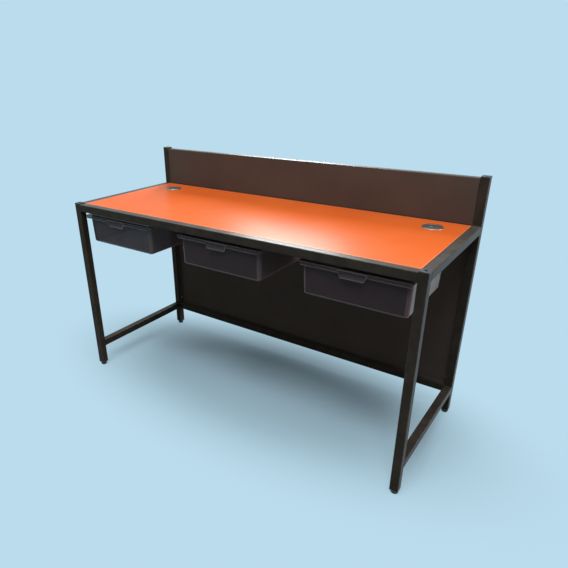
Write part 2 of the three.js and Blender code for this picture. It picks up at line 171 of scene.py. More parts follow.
# One mesh from grids of points. Each grid's columns close on themselves; its rows close too ("loop"), or
# its first and last rows are filled ("capped"). The third entry marks the points that lie on edges.
def makePiece(name, grids, body, material, replaced=(), sharpAngle=32):
    points = []
    faces = []
    edges = []
    start = 0
    for grid, ends, edge in grids:
        rows, columns = grid.shape[:2]
        index = start + np.arange(rows * columns).reshape(rows, columns)
        lower = index if ends == "loop" else index[:-1]
        upper = np.roll(index, -1, 0) if ends == "loop" else index[1:]
        quads = np.stack([lower, np.roll(lower, -1, 1), np.roll(upper, -1, 1), upper], -1)
        faces += quads.reshape(-1, 4).tolist()
        if ends == "capped":
            faces += [index[0, ::-1].tolist(), index[-1].tolist()]
        points.append(grid.reshape(-1, 3))
        edges.append(np.broadcast_to(edge, (rows, columns)).ravel())
        start += rows * columns
    mesh = bpy.data.meshes.new(name)
    mesh.from_pydata(np.concatenate(points).tolist(), [], faces)
    work = bmesh.new()
    work.from_mesh(mesh)
    bmesh.ops.recalc_face_normals(work, faces=work.faces)
    work.to_mesh(mesh)
    work.free()
    share = mesh.attributes.new("edgeShare", "FLOAT", "POINT")
    share.data.foreach_set("value", np.concatenate(edges).astype(np.float32))
    mesh.shade_smooth()
    mesh.set_sharp_from_angle(angle=math.radians(sharpAngle))
    mesh.materials.append(material)
    piece = bpy.data.objects.new(name, mesh)
    bpy.context.scene.collection.objects.link(piece)
    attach(piece, body)
    if replaced:
        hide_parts(*replaced)
    return piece


# Powder coat on steel, sprayed and baked: a satin skin whose fine orange peel softens the reflections. It
# is thin on the corners, where handling has rubbed it paler. Its upward faces are painted paler, most of
# all at the height of the worktop: painted light from above and its reflection on the tops.
def powderCoat(name, dark, pale, cloudSize, gloss):
    material, tree, place = newMaterial(name)
    cloud = addNode(tree, "ShaderNodeTexNoise", {"Vector": place}, Scale=1 / cloudSize, Detail=4.0)
    tone = addNode(tree, "ShaderNodeValToRGB", {"Fac": cloud}, ramp=((0.3, dark), (0.72, pale)))
    edge = addNode(tree, "ShaderNodeAttribute", attribute_name="edgeShare").outputs["Fac"]
    rub = addNode(tree, "ShaderNodeTexNoise", {"Vector": place}, Scale=1 / (14 * mm), Detail=5.0)
    worn = addNode(tree, "ShaderNodeMath", {0: edge, 1: rub}, operation="MULTIPLY")
    wear = addNode(tree, "ShaderNodeMapRange", {"Value": worn}, From_Min=0.4, From_Max=0.75, To_Max=0.55)
    rubbed = addNode(tree, "ShaderNodeMixRGB", {"Fac": wear, "Color1": tone},
                     Color2=linearColour("#6B6259"))
    # painted light on the tops: by how far the face looks up, and by its height in metres
    normal = addNode(tree, "ShaderNodeNewGeometry").outputs["Normal"]
    facing = addNode(tree, "ShaderNodeSeparateXYZ", {0: normal}).outputs["Z"]
    height = addNode(tree, "ShaderNodeSeparateXYZ", {0: place}).outputs["Z"]
    most = addNode(tree, "ShaderNodeMapRange", {"Value": height},
                   From_Min=0.3, From_Max=0.75, To_Min=0.25, To_Max=1.0)
    level = addNode(tree, "ShaderNodeMapRange", {"Value": facing, "To Max": most},
                    From_Min=0.7, From_Max=1.0)
    paintedTopLight = addNode(tree, "ShaderNodeMath", {0: level, 1: cloud}, operation="MULTIPLY")
    base = addNode(tree, "ShaderNodeMixRGB", {"Fac": paintedTopLight, "Color1": rubbed},
                   Color2=linearColour("#6A635C"))
    shine = addNode(tree, "ShaderNodeMapRange", {"Value": cloud}, To_Min=gloss - 0.06, To_Max=gloss + 0.06)
    # orange peel is 1 to 2 mm, drawn at 3 mm so that it shows
    peel = addNode(tree, "ShaderNodeTexNoise", {"Vector": place}, Scale=1 / (3 * mm), Detail=2.0)
    bump = addNode(tree, "ShaderNodeBump", {"Height": peel}, Strength=0.12, Distance=0.3 * mm)
    shader = addNode(tree, "ShaderNodeBsdfPrincipled", {
        "Base Color": base, "Roughness": shine, "Normal": bump}, IOR=1.45, Specular_IOR_Level=0.05)
    addNode(tree, "ShaderNodeOutputMaterial", {0: shader})
    return material


# High pressure laminate, pressed against a satin plate: an even orange with a very fine pearl grain that
# spreads the highlight wide.
def pressedLaminate():
    material, tree, place = newMaterial("laminate_satin_orange")
    cloud = addNode(tree, "ShaderNodeTexNoise", {"Vector": place}, Scale=1 / (220 * mm), Detail=3.0)
    tone = addNode(tree, "ShaderNodeValToRGB", {"Fac": cloud}, ramp=((0.3, "#EC6A2B"), (0.7, "#F27434")))
    # pearl grain of 0.5 mm, drawn at 1.6 mm so that it shows
    grain = addNode(tree, "ShaderNodeTexNoise", {"Vector": place}, Scale=1 / (1.6 * mm), Detail=3.0)
    gloss = addNode(tree, "ShaderNodeMapRange", {"Value": grain}, To_Min=0.29, To_Max=0.36)
    bump = addNode(tree, "ShaderNodeBump", {"Height": grain}, Strength=0.10, Distance=0.2 * mm)
    shader = addNode(tree, "ShaderNodeBsdfPrincipled", {
        "Base Color": tone, "Roughness": gloss, "Normal": bump}, IOR=1.5, Specular_IOR_Level=0.035)
    addNode(tree, "ShaderNodeOutputMaterial", {0: shader})
    return material


# ABS edge band, extruded and glued on: the laminate's orange, painted paler all along as a painted
# highlight on its rounded edge.
def edgeBandAbs():
    material, tree, place = newMaterial("abs_edge_band_orange")
    streak = addNode(tree, "ShaderNodeTexNoise", {"Vector": place}, Scale=1 / (8 * mm), Detail=3.0)
    tone = addNode(tree, "ShaderNodeValToRGB", {"Fac": streak}, ramp=((0.0, "#E58555"), (1.0, "#F2A67E")))
    bump = addNode(tree, "ShaderNodeBump", {"Height": streak}, Strength=0.1, Distance=0.2 * mm)
    shader = addNode(tree, "ShaderNodeBsdfPrincipled", {"Base Color": tone, "Normal": bump},
                     Roughness=0.35, IOR=1.53)
    addNode(tree, "ShaderNodeOutputMaterial", {0: shader})
    return material


# Black ABS and polypropylene, moulded against a spark-eroded tool: a fine even grain and a dull sheen.
def mouldedPlastic():
    material, tree, place = newMaterial("moulded_black_plastic")
    cloud = addNode(tree, "ShaderNodeTexNoise", {"Vector": place}, Scale=1 / (12 * mm), Detail=2.0)
    tone = addNode(tree, "ShaderNodeValToRGB", {"Fac": cloud}, ramp=((0.0, "#141415"), (1.0, "#222224")))
    # tool grain of 0.3 mm, drawn at 0.9 mm so that it shows
    grain = addNode(tree, "ShaderNodeTexVoronoi", {"Vector": place}, Scale=1 / (0.9 * mm))
    bump = addNode(tree, "ShaderNodeBump", {"Height": grain}, Strength=0.15, Distance=0.15 * mm)
    shader = addNode(tree, "ShaderNodeBsdfPrincipled", {"Base Color": tone, "Normal": bump},
                     Roughness=0.42, IOR=1.53)
    addNode(tree, "ShaderNodeOutputMaterial", {0: shader})
    return material


# Particle board core, pressed from wood chips: tan flakes a few millimetres long, dull.
def chipCore():
    material, tree, place = newMaterial("particle_board_raw")
    flakes = addNode(tree, "ShaderNodeTexVoronoi", {"Vector": place}, Scale=1 / (4 * mm))
    tone = addNode(tree, "ShaderNodeValToRGB", {"Fac": flakes.outputs["Color"]},
                   ramp=((0.0, "#7E5F3D"), (1.0, "#B8966A")))
    bump = addNode(tree, "ShaderNodeBump", {"Height": flakes}, Strength=0.3, Distance=0.4 * mm)
    shader = addNode(tree, "ShaderNodeBsdfPrincipled", {"Base Color": tone, "Normal": bump},
                     Roughness=0.85, IOR=1.5)
    addNode(tree, "ShaderNodeOutputMaterial", {0: shader})
    return material


# Smoked polystyrene, injection moulded: thin dark walls that show what is behind them, with a polished
# skin, faint flow lines and fine scuffs. The marked edges are painted pale and made fuller: a painted
# highlight for the light that runs inside the walls and comes out at the edges.
def smokedTray():
    material, tree, place = newMaterial("moulded_smoked_polystyrene")
    flow = addNode(tree, "ShaderNodeTexNoise", {"Vector": place},
                   Scale=1 / (60 * mm), Detail=4.0, Distortion=1.2)
    scuff = addNode(tree, "ShaderNodeTexNoise", {"Vector": place}, Scale=1 / (25 * mm), Detail=5.0)
    gloss = addNode(tree, "ShaderNodeMapRange", {"Value": scuff}, To_Min=0.12, To_Max=0.24)
    tone = addNode(tree, "ShaderNodeValToRGB", {"Fac": flow}, ramp=((0.0, "#3E3133"), (1.0, "#4E4043")))
    edge = addNode(tree, "ShaderNodeAttribute", attribute_name="edgeShare").outputs["Fac"]
    # painted highlight: the marked edges are mixed towards a pale grey
    base = addNode(tree, "ShaderNodeMixRGB", {"Fac": edge, "Color1": tone}, Color2=linearColour("#9C949A"))
    body = addNode(tree, "ShaderNodeMapRange", {"Value": edge}, To_Min=0.63, To_Max=0.92)
    bump = addNode(tree, "ShaderNodeBump", {"Height": flow}, Strength=0.08, Distance=1.0 * mm)
    shader = addNode(tree, "ShaderNodeBsdfPrincipled", {
        "Base Color": base, "Roughness": gloss, "Alpha": body, "Normal": bump},
        IOR=1.5, Specular_IOR_Level=0.2)
    addNode(tree, "ShaderNodeOutputMaterial", {0: shader})
    return material


# Aluminium extrusion, mill finish: fine draw lines along its length blur the reflection across it.
def millAluminium():
    material, tree, place = newMaterial("extruded_aluminium_mill")
    stretch = addNode(tree, "ShaderNodeMapping", {"Vector": place}, Scale=(1.0, 0.02, 1.0))
    # draw lines of 0.2 mm, drawn at 0.8 mm and 50 times as long, so that they show
    lines = addNode(tree, "ShaderNodeTexNoise", {"Vector": stretch}, Scale=1 / (0.8 * mm), Detail=3.0)
    tone = addNode(tree, "ShaderNodeValToRGB", {"Fac": lines}, ramp=((0.0, "#8E9093"), (1.0, "#B4B6B8")))
    gloss = addNode(tree, "ShaderNodeMapRange", {"Value": lines}, To_Min=0.28, To_Max=0.45)
    bump = addNode(tree, "ShaderNodeBump", {"Height": lines}, Strength=0.15, Distance=0.1 * mm)
    shader = addNode(tree, "ShaderNodeBsdfPrincipled", {
        "Base Color": tone, "Roughness": gloss, "Normal": bump}, Metallic=1.0)
    addNode(tree, "ShaderNodeOutputMaterial", {0: shader})
    return material


# Zinc-plated steel, barrel plated: a bright grey with a faint cloudy bloom.
def zincPlated():
    material, tree, place = newMaterial("steel_zinc_plated")
    bloom = addNode(tree, "ShaderNodeTexNoise", {"Vector": place}, Scale=1 / (2.5 * mm), Detail=4.0)
    tone = addNode(tree, "ShaderNodeValToRGB", {"Fac": bloom}, ramp=((0.0, "#9C9FA2"), (1.0, "#C9CBCC")))
    gloss = addNode(tree, "ShaderNodeMapRange", {"Value": bloom}, To_Min=0.22, To_Max=0.38)
    shader = addNode(tree, "ShaderNodeBsdfPrincipled", {"Base Color": tone, "Roughness": gloss},
                     Metallic=1.0)
    addNode(tree, "ShaderNodeOutputMaterial", {0: shader})
    return material


# Satin nickel on a turned zinc grommet: rings of fine turning lines round its axis spread the highlight.
def satinNickel(name, centre):
    material, tree, place = newMaterial(name)
    centred = addNode(tree, "ShaderNodeMapping", {"Vector": place}, Location=(-centre[0], -centre[1], 0.0))
    # turning lines of 0.15 mm, drawn at 3.8 mm, which is 2 pi times 0.6, so that they show: a wave of
    # scale 1 runs through 20 radians in a metre
    rings = addNode(tree, "ShaderNodeTexWave", {"Vector": centred}, wave_type="RINGS", rings_direction="Z",
                    Scale=1 / (0.6 * mm) / 20, Distortion=0.6, Detail=1.0).outputs["Fac"]
    wear = addNode(tree, "ShaderNodeTexNoise", {"Vector": place}, Scale=1 / (7 * mm), Detail=4.0)
    tone = addNode(tree, "ShaderNodeValToRGB", {"Fac": wear}, ramp=((0.0, "#A39890"), (1.0, "#CBC0B9")))
    gloss = addNode(tree, "ShaderNodeMapRange", {"Value": wear}, To_Min=0.34, To_Max=0.48)
    bump = addNode(tree, "ShaderNodeBump", {"Height": rings}, Strength=0.06, Distance=0.1 * mm)
    shader = addNode(tree, "ShaderNodeBsdfPrincipled", {
        "Base Color": tone, "Roughness": gloss, "Normal": bump}, Metallic=1.0)
    addNode(tree, "ShaderNodeOutputMaterial", {0: shader})
    return material


tubeCoat = powderCoat("powder_coat_satin_black", dark="#33302B", pale="#413D36",
                      cloudSize=45 * mm, gloss=0.30)
panelCoat = powderCoat("powder_coat_brown_black", dark="#544C46", pale="#5B534C",
                       cloudSize=160 * mm, gloss=0.42)
laminate = pressedLaminate()
edgeAbs = edgeBandAbs()
blackPlastic = mouldedPlastic()
boardCore = chipCore()
smokedPlastic = smokedTray()
runnerMetal = millAluminium()
screwSteel = zincPlated()
print("bench: materials made")


frameTubes = {"corner": 3 * mm, "wall": 2 * mm, "support": 0.7 * mm, "steps": 6}
lengthAxes = {"x": (axisY, axisZ, axisX), "y": (axisZ, axisX, axisY), "z": (axisX, axisY, axisZ)}


# Square tube: a rounded square carried along a straight path, outside one way and inside back.
def squareTube(node, way):
    sizes = frameTubes
    low, high = boxOf(node)
    axes = lengthAxes[way]
    centre = (low + high) / 2
    reach = abs((high - low) @ axes[2]) / 2
    half = abs((high - low) @ axes[0]) / 2
    points, normals = roundedRect(half, half, sizes["corner"], sizes["steps"], sizes["support"])
    inset = -sizes["wall"]
    rings = [(0, -reach), (0, reach), (inset, reach), (inset, -reach)]
    grid = outlineRings(points, normals, rings, axes, centre)
    onCorner = np.abs(normals).max(1) < 0.999  # the normal leans off both flats
    makePiece(node + "_tube", [(grid, "loop", onCorner[None])], "bench", tubeCoat, [node])


for node in ("front_left_leg", "front_right_leg", "rear_left_post", "rear_right_post"):
    squareTube(node, "z")
for node in ("front_top_rail", "rear_top_rail", "rear_bottom_rail"):
    squareTube(node, "x")
for node in ("left_top_rail", "right_top_rail", "left_bottom_rail", "right_bottom_rail"):
    squareTube(node, "y")
print("bench: tubes made")


welds = {"radius": 1.6 * mm, "ripple": 0.14, "pitch": 4.5 * mm, "spacing": 1.1 * mm, "steps": 8,
         "cornerSteps": 5, "taper": 5 * mm, "tip": 0.01, "groundFrom": 0.6, "sharp": 60}


# A bead: a small circle carried along the seam. Its radius swells and shrinks with the weld's ripple, and
# an open bead tapers to nothing at both ends. It is left off the sides that are ground flush.
def weldBead(name, rail, way, end, ground):
    low, high = boxOf(rail)
    axes = lengthAxes[way]
    half = abs((high - low) @ axes[0]) / 2
    centre = (low + high) / 2 + axes[2] * (end * abs((high - low) @ axes[2]) / 2)
    points, normals = roundedRect(half, half, frameTubes["corner"], welds["cornerSteps"])
    around = outlineReach(points)[-1]
    count = int(around / welds["spacing"])
    marks = np.linspace(0, around, count, endpoint=False)
    flat, out = alongOutline(points, normals, marks)
    outward = out[:, :1] * axes[0] + out[:, 1:] * axes[1]
    keep = np.ones(count, bool)
    for side in ground:
        keep &= outward @ np.asarray(side, float) < welds["groundFrom"]
    radius = welds["radius"] * (1 + welds["ripple"] * np.sin(2 * math.pi * marks / welds["pitch"]))
    if not keep.all():
        first = np.nonzero(keep & ~np.roll(keep, 1))[0][0]
        order = np.roll(np.arange(count), -first)[:int(keep.sum())]
        flat, outward, radius = flat[order], outward[order], radius[order]
        along = np.arange(len(order)) * welds["spacing"]
        nearEnd = np.minimum(along, along[-1] - along) / welds["taper"]
        radius = radius * np.sqrt(np.clip(nearEnd, welds["tip"], 1))
    path = centre + flat[:, :1] * axes[0] + flat[:, 1:] * axes[1]
    turn = np.linspace(0, 2 * math.pi, welds["steps"], endpoint=False)
    across = (np.cos(turn)[None, :, None] * outward[:, None]
              + np.sin(turn)[None, :, None] * axes[2][None, None])
    grid = path[:, None] + radius[:, None, None] * across
    ends = "loop" if keep.all() else "capped"
    makePiece(name, [(grid, ends, 0)], "bench", tubeCoat, sharpAngle=welds["sharp"])


weldCount = 0
for rail, way, out in (("front_top_rail", "x", (0, -1, 0)), ("rear_top_rail", "x", (0, 1, 0)),
                       ("left_top_rail", "y", (-1, 0, 0)), ("right_top_rail", "y", (1, 0, 0)),
                       ("left_bottom_rail", "y", (-1, 0, 0)), ("right_bottom_rail", "y", (1, 0, 0)),
                       ("rear_bottom_rail", "x", (0, 1, 0))):
    for end, label in ((-1, "low"), (1, "high")):
        flushTop = rail == "front_top_rail" or (rail.endswith("top_rail") and way == "y" and end < 0)
        weldBead(f"weld_{rail}_{label}", rail, way, end, [out, axisZ] if flushTop else [out])
        weldCount += 1
print("bench: weld beads made,", weldCount)


# the dome's entries are the share of the half width in from the edge, and the drop from the top
caps = {"overhang": 0.5 * mm, "thick": 2 * mm, "crown": 2 * mm, "corner": 3.5 * mm, "plugGap": 2.3 * mm,
        "plugEase": 0.6 * mm, "round": 2.24 * mm, "roundTo": 55, "roundSteps": 4, "least": 0.02,
        "dome": ((0.5, 0.15 * mm), (0.75, 0), (0.97, 0)), "steps": 6, "support": 0.5 * mm}


# A tube cap: the rounded square shrinks over a rounded edge to a low crown, with the plug below it.
def tubeCap(node):
    low, high = boxOf(node)
    centre = (low + high) / 2
    half = (high[0] - low[0]) / 2
    top = high[2]
    shoulder = top - caps["crown"]
    under = shoulder - caps["thick"]
    corner, bend, ease = caps["corner"], caps["round"], caps["plugEase"]
    points, normals = roundedRect(half, half, corner, caps["steps"], caps["support"])
    plug = -caps["plugGap"] - caps["overhang"]
    rings = [(plug - ease, low[2]), (plug, low[2] + ease), (plug, under), (0, under), (0, shoulder)]
    rings += arc(-bend, shoulder, bend, 0, caps["roundTo"], caps["roundSteps"])[1:]
    rings += [(-share * half, top - drop) for share, drop in caps["dome"]]
    inset, heights = np.asarray(rings).T[:, :, None, None]
    # past the corner's radius a ring shrinks as a whole
    shrink = np.clip(1 + np.minimum(inset + corner, 0) / half, caps["least"], 1)
    flat = points[None] * shrink + np.maximum(inset, -corner) * normals
    grid = np.concatenate([flat, np.broadcast_to(heights, flat.shape[:2] + (1,))], -1)
    grid = grid + np.array([centre[0], centre[1], 0])
    makePiece(node + "_moulded", [(grid, "capped", 0)], "bench", blackPlastic, [node])


feet = {"round": 13 * mm, "edge": 5 * mm, "tall": 18 * mm, "collar": 3 * mm, "collarCorner": 3 * mm,
        "waist": 1.2 * mm, "flare": 0.8 * mm, "soft": 0.5 * mm, "plug": 12.7 * mm, "plugCorner": 1.2 * mm,
        "plugEase": 1 * mm, "middle": 0.4 * mm, "edgeSteps": 7, "steps": 8}


# A foot: rings that pass from a circle (the glide) through a square with round corners (the collar) to the
# plug. Each ring is a rounded square of its own half width, corner and height, so a corner equal to the
# half width is a circle.
def tubeFoot(node):
    low, high = boxOf(node)
    centre = (low + high) / 2
    half = (high[0] - low[0]) / 2
    r, edge, soft, middle = feet["round"], feet["edge"], feet["soft"], feet["middle"]
    corner, plug = feet["collarCorner"], feet["plug"]
    plugCorner, ease = feet["plugCorner"], feet["plugEase"]
    collarTop = feet["tall"]
    collarLow = collarTop - feet["collar"]
    plugTop = high[2] - low[2]
    glide = [(a, a, z) for a, z in arc(r - edge, edge, edge, -90, 0, feet["edgeSteps"])]
    rings = [(middle, middle, 0)] + glide + [
        (r, r, collarLow - feet["waist"]), (r + feet["flare"], r, collarLow),
        (half - soft, corner, collarLow), (half, corner, collarLow + soft), (half, corner, collarTop),
        (plug, plugCorner, collarTop), (plug, plugCorner, plugTop - ease),
        (plug - ease, plugCorner, plugTop)]
    rows = [np.insert(roundedRect(a, a, c, feet["steps"])[0], 2, z, axis=1) for a, c, z in rings]
    grid = np.stack(rows) + np.array([centre[0], centre[1], low[2]])
    makePiece(node + "_moulded", [(grid, "capped", 0)], "bench", blackPlastic, [node])


for end in ("front", "rear"):
    for side in ("left", "right"):
        tubeCap(f"{end}_{side}_cap")
        tubeFoot(f"{end}_{side}_foot")
print("bench: caps and feet made")


panels = {"sheet": 1.5 * mm, "bend": 3.0 * mm, "bendSteps": 6, "insideSteps": 4, "cut": 0.35 * mm,
          "corner": 1.0 * mm, "leastCorner": 0.3 * mm, "cornerSteps": 3, "support": 3 * mm}


# A pan of folded sheet: the face's outline runs back over each bend (a quarter circle) to the flange's
# edge, round it, and forward again inside, one sheet thickness in.
def foldedPan(node, faceWay):
    low, high = boxOf(node)
    centre = (low + high) / 2
    halfX, halfZ = (high[0] - low[0]) / 2, (high[2] - low[2]) / 2
    depth = high[1] - low[1]
    sheet, bend, cut = panels["sheet"], panels["bend"], panels["cut"]
    face = low[1] if faceWay < 0 else high[1]
    outer = arc(-bend, bend, bend, 270, 360, panels["bendSteps"])  # from the face round to the flange
    inner = arc(-bend, bend, bend - sheet, 360, 270, panels["insideSteps"])
    flange = [(0, depth - cut), (-cut, depth), (-sheet + cut, depth), (-sheet, depth - cut)]
    rings = outer + flange + inner
    # each ring is the outline moved in by its offset; its corner's radius shrinks too, down to the least
    rows = []
    for offset, height in rings:
        corner = max(panels["corner"] + offset, panels["leastCorner"])
        ring, _ = roundedRect(halfX + offset, halfZ + offset, corner, panels["cornerSteps"],
                              panels["support"])
        rows.append(np.insert(ring, 1, height, axis=1))
    grid = np.stack(rows) * np.array([1, -faceWay, 1]) + np.array([centre[0], face, centre[2]])
    row = np.arange(len(rings))
    onBend = (row > 0) & (row < len(outer) + 2)  # the bend, the flange and its edge
    makePiece(node + "_folded", [(grid, "capped", onBend[:, None])], "bench", panelCoat,
              [node])


foldedPan("upstand_panel", -1)
foldedPan("modesty_panel", 1)
print("bench: panels made")


worktop = {"edgeRound": 0.7 * mm, "roundSteps": 4, "band": 2 * mm}
for node, material in (("worktop_board", boardCore), ("worktop_laminate", laminate)):
    nodes[node].data.materials.clear()
    nodes[node].data.materials.append(material)


# The edge band: a strip profile with its upper outer edge rounded, carried round the board's rectangle.
def edgeBand():
    low, high = boxOf("worktop_edging")
    centre = (low + high) / 2
    half = (high - low) / 2
    r = worktop["edgeRound"]
    band = worktop["band"]
    profile = ([(-band, -half[2]), (0, -half[2])] + arc(-r, half[2] - r, r, 0, 90, worktop["roundSteps"])
               + [(-band, half[2])])
    rows = [np.insert(fourCorners * (half[:2] + offset), 2, height, axis=1) for offset, height in profile]
    makePiece("worktop_edge_band", [(np.stack(rows) + centre, "loop", 0)], "bench",
              edgeAbs, ["worktop_edging"])


edgeBand()

ledges = {"leg": 20 * mm, "thick": 3 * mm, "round": 1.2 * mm, "roundSteps": 4}


# A steel angle: an L profile with eased corners carried along X.
def steelAngle(node, wallSide):
    low, high = boxOf(node)
    leg, thick = ledges["leg"], ledges["thick"]
    wall = high[1] if wallSide > 0 else low[1]
    corners = [(0, 0), (-leg, 0), (-leg, -thick), (-thick, -thick), (-thick, -leg), (0, -leg)]
    section = roundedPolygon(corners, ledges["round"], ledges["roundSteps"])
    axes = (wallSide * axisY, axisZ, axisX)
    grid = straightBar(section, (low[0], high[0]), axes, (0, wall, high[2]))
    makePiece(node + "_angle", [(grid, "capped", 0)], "bench", tubeCoat, [node])


steelAngle("front_worktop_ledge", -1)
steelAngle("rear_worktop_ledge", 1)
print("bench: worktop made")


# pullColumns are millimetres in from the pull's side; the pale entries are shares of the edges' painted
# highlight
trays = {"rim": 8 * mm, "frontRim": 14 * mm, "rimThick": 3 * mm, "lip": 13 * mm, "lipThick": 2.5 * mm,
         "lipHalf": 181 * mm, "lipFade": 2 * mm, "lipFrom": 3 * mm, "wall": 2.2 * mm, "draft": 4 * mm,
         "corner": 18 * mm, "cornerSteps": 16, "square": 0.3, "base": 9 * mm, "baseSteps": 7,
         "fillet": 1.5 * mm, "wallTop": 1.6 * mm, "wallRows": 7, "edge": 0.9 * mm, "edgeSteps": 4,
         "pullHalf": 49 * mm, "pullTaper": 9 * mm, "pullHeight": 28 * mm, "pullProud": 2 * mm,
         "pullCorner": 4 * mm, "pullSpread": 14 * mm,
         "pullColumns": (-14, -9, -4, -0.6, -0.1, 0, 0.07, 0.25, 0.55, 0.9, 1.4, 2.4, 3.4, 4.4, 8),
         "coarse": 14 * mm, "closest": 0.03 * mm, "faceRows": 6, "paleCorner": 0.3, "paleSide": 0.4,
         "paleBase": 0.5, "paleReach": 0.3 * mm, "flatFrom": 0.98, "sharp": 50}


# The columns of a tray's grid, as points and normals of its walls' outline at the top: the outline's own
# points, even steps between them, and more at the sides of the finger pull, in the middle of the front.
def trayColumns(half):
    t = trays
    corner, steps = t["corner"], t["cornerSteps"]
    points, normals = roundedRect(half[0], half[1], corner, steps)
    reach = outlineReach(points)
    middle = reach[3 * steps + 2] + half[0] - corner  # half a straight side past the last but one corner
    nearSide = t["pullHalf"] - np.array(t["pullColumns"]) * mm
    evenly = np.arange(0, reach[-1], t["coarse"])
    marks = np.concatenate([reach[:-1], evenly, middle - nearSide, middle + nearSide])
    marks = np.unique(np.round(marks, 6))
    marks = marks[np.append(np.diff(marks) > t["closest"], True)]
    return alongOutline(points, normals, marks)


# The rim's outline: the walls' outline moved out by the rim's width. It is wider at the front, with squarer
# corners there: the cosine and sine of a circle raised to a small power.
def trayRim(half, flat, out, onFront):
    rim, frontRim, corner = trays["rim"], trays["frontRim"], trays["corner"]
    frontCorner = (out[:, 1] < -tiny) & (np.abs(flat[:, 0]) > half[0] - corner + tiny)
    squared = np.sign(out) * np.abs(out) ** trays["square"] * (corner + np.array([rim, frontRim]))
    rimFlat = flat + rim * out
    rimFlat[:, 1] = np.where(onFront, -half[1] - frontRim, rimFlat[:, 1])
    return np.where(frontCorner[:, None], np.sign(flat) * (half - corner) + squared, rimFlat)


# The rows of a tray's grid: up the outside of base and drafted wall, round the lip, over the rim, and down
# the inside. A row is a share of the way to the rim's outline, an offset along the normal and a height. On
# the lip these pass from the hanging lip to the plain rim by how full the lip is at each column.
def trayRows(tall, full, lowEdge):
    t = trays
    wall, soft, draft, base, lipThick = t["wall"], t["edge"], t["draft"], t["base"], t["lipThick"]
    under = tall - t["rimThick"]
    rise = np.linspace(base, under - t["wallTop"], t["wallRows"])
    slope = -draft * (1 - (rise - base) / (under - base))  # the wall leans out as it rises
    outside = (arc(-draft - base, base, base, -90, 0, t["baseSteps"])[:-1] + list(zip(slope, rise))
               + arc(t["fillet"], under - t["fillet"], t["fillet"], 180, 90, t["edgeSteps"]))
    inside = (arc(-wall + soft, tall - soft, soft, 90, 180, t["edgeSteps"])
              + list(zip(slope[::-1] - wall, rise[::-1]))
              + arc(-draft - base, base, base - wall, 360, 270, t["baseSteps"])[1:])
    lipOffsets = [(-lipThick, -lipThick), (-lipThick, -0.75 * lipThick), (soft - lipThick, -0.5 * lipThick),
                  (-soft, -0.3 * lipThick), (0, 0)]  # along the lip, and where there is none
    lipHeights = (under, lowEdge + soft * full, lowEdge, lowEdge, lowEdge + soft * (0.5 + 0.5 * full))
    lipRows = [(1, a * full + b * (1 - full), z) for (a, b), z in zip(lipOffsets, lipHeights)]
    faceLow = lipHeights[-1]
    faceTall = tall - soft - faceLow
    lipRows += [(1, 0, faceLow + part * faceTall) for part in np.linspace(0, 1, t["faceRows"] + 2)[1:-1]]
    rimRows = [(1, a, z) for a, z in arc(-soft, tall - soft, soft, 0, 90, t["edgeSteps"])]
    return [(0, a, z) for a, z in outside], lipRows, rimRows, [(0, a, z) for a, z in inside]


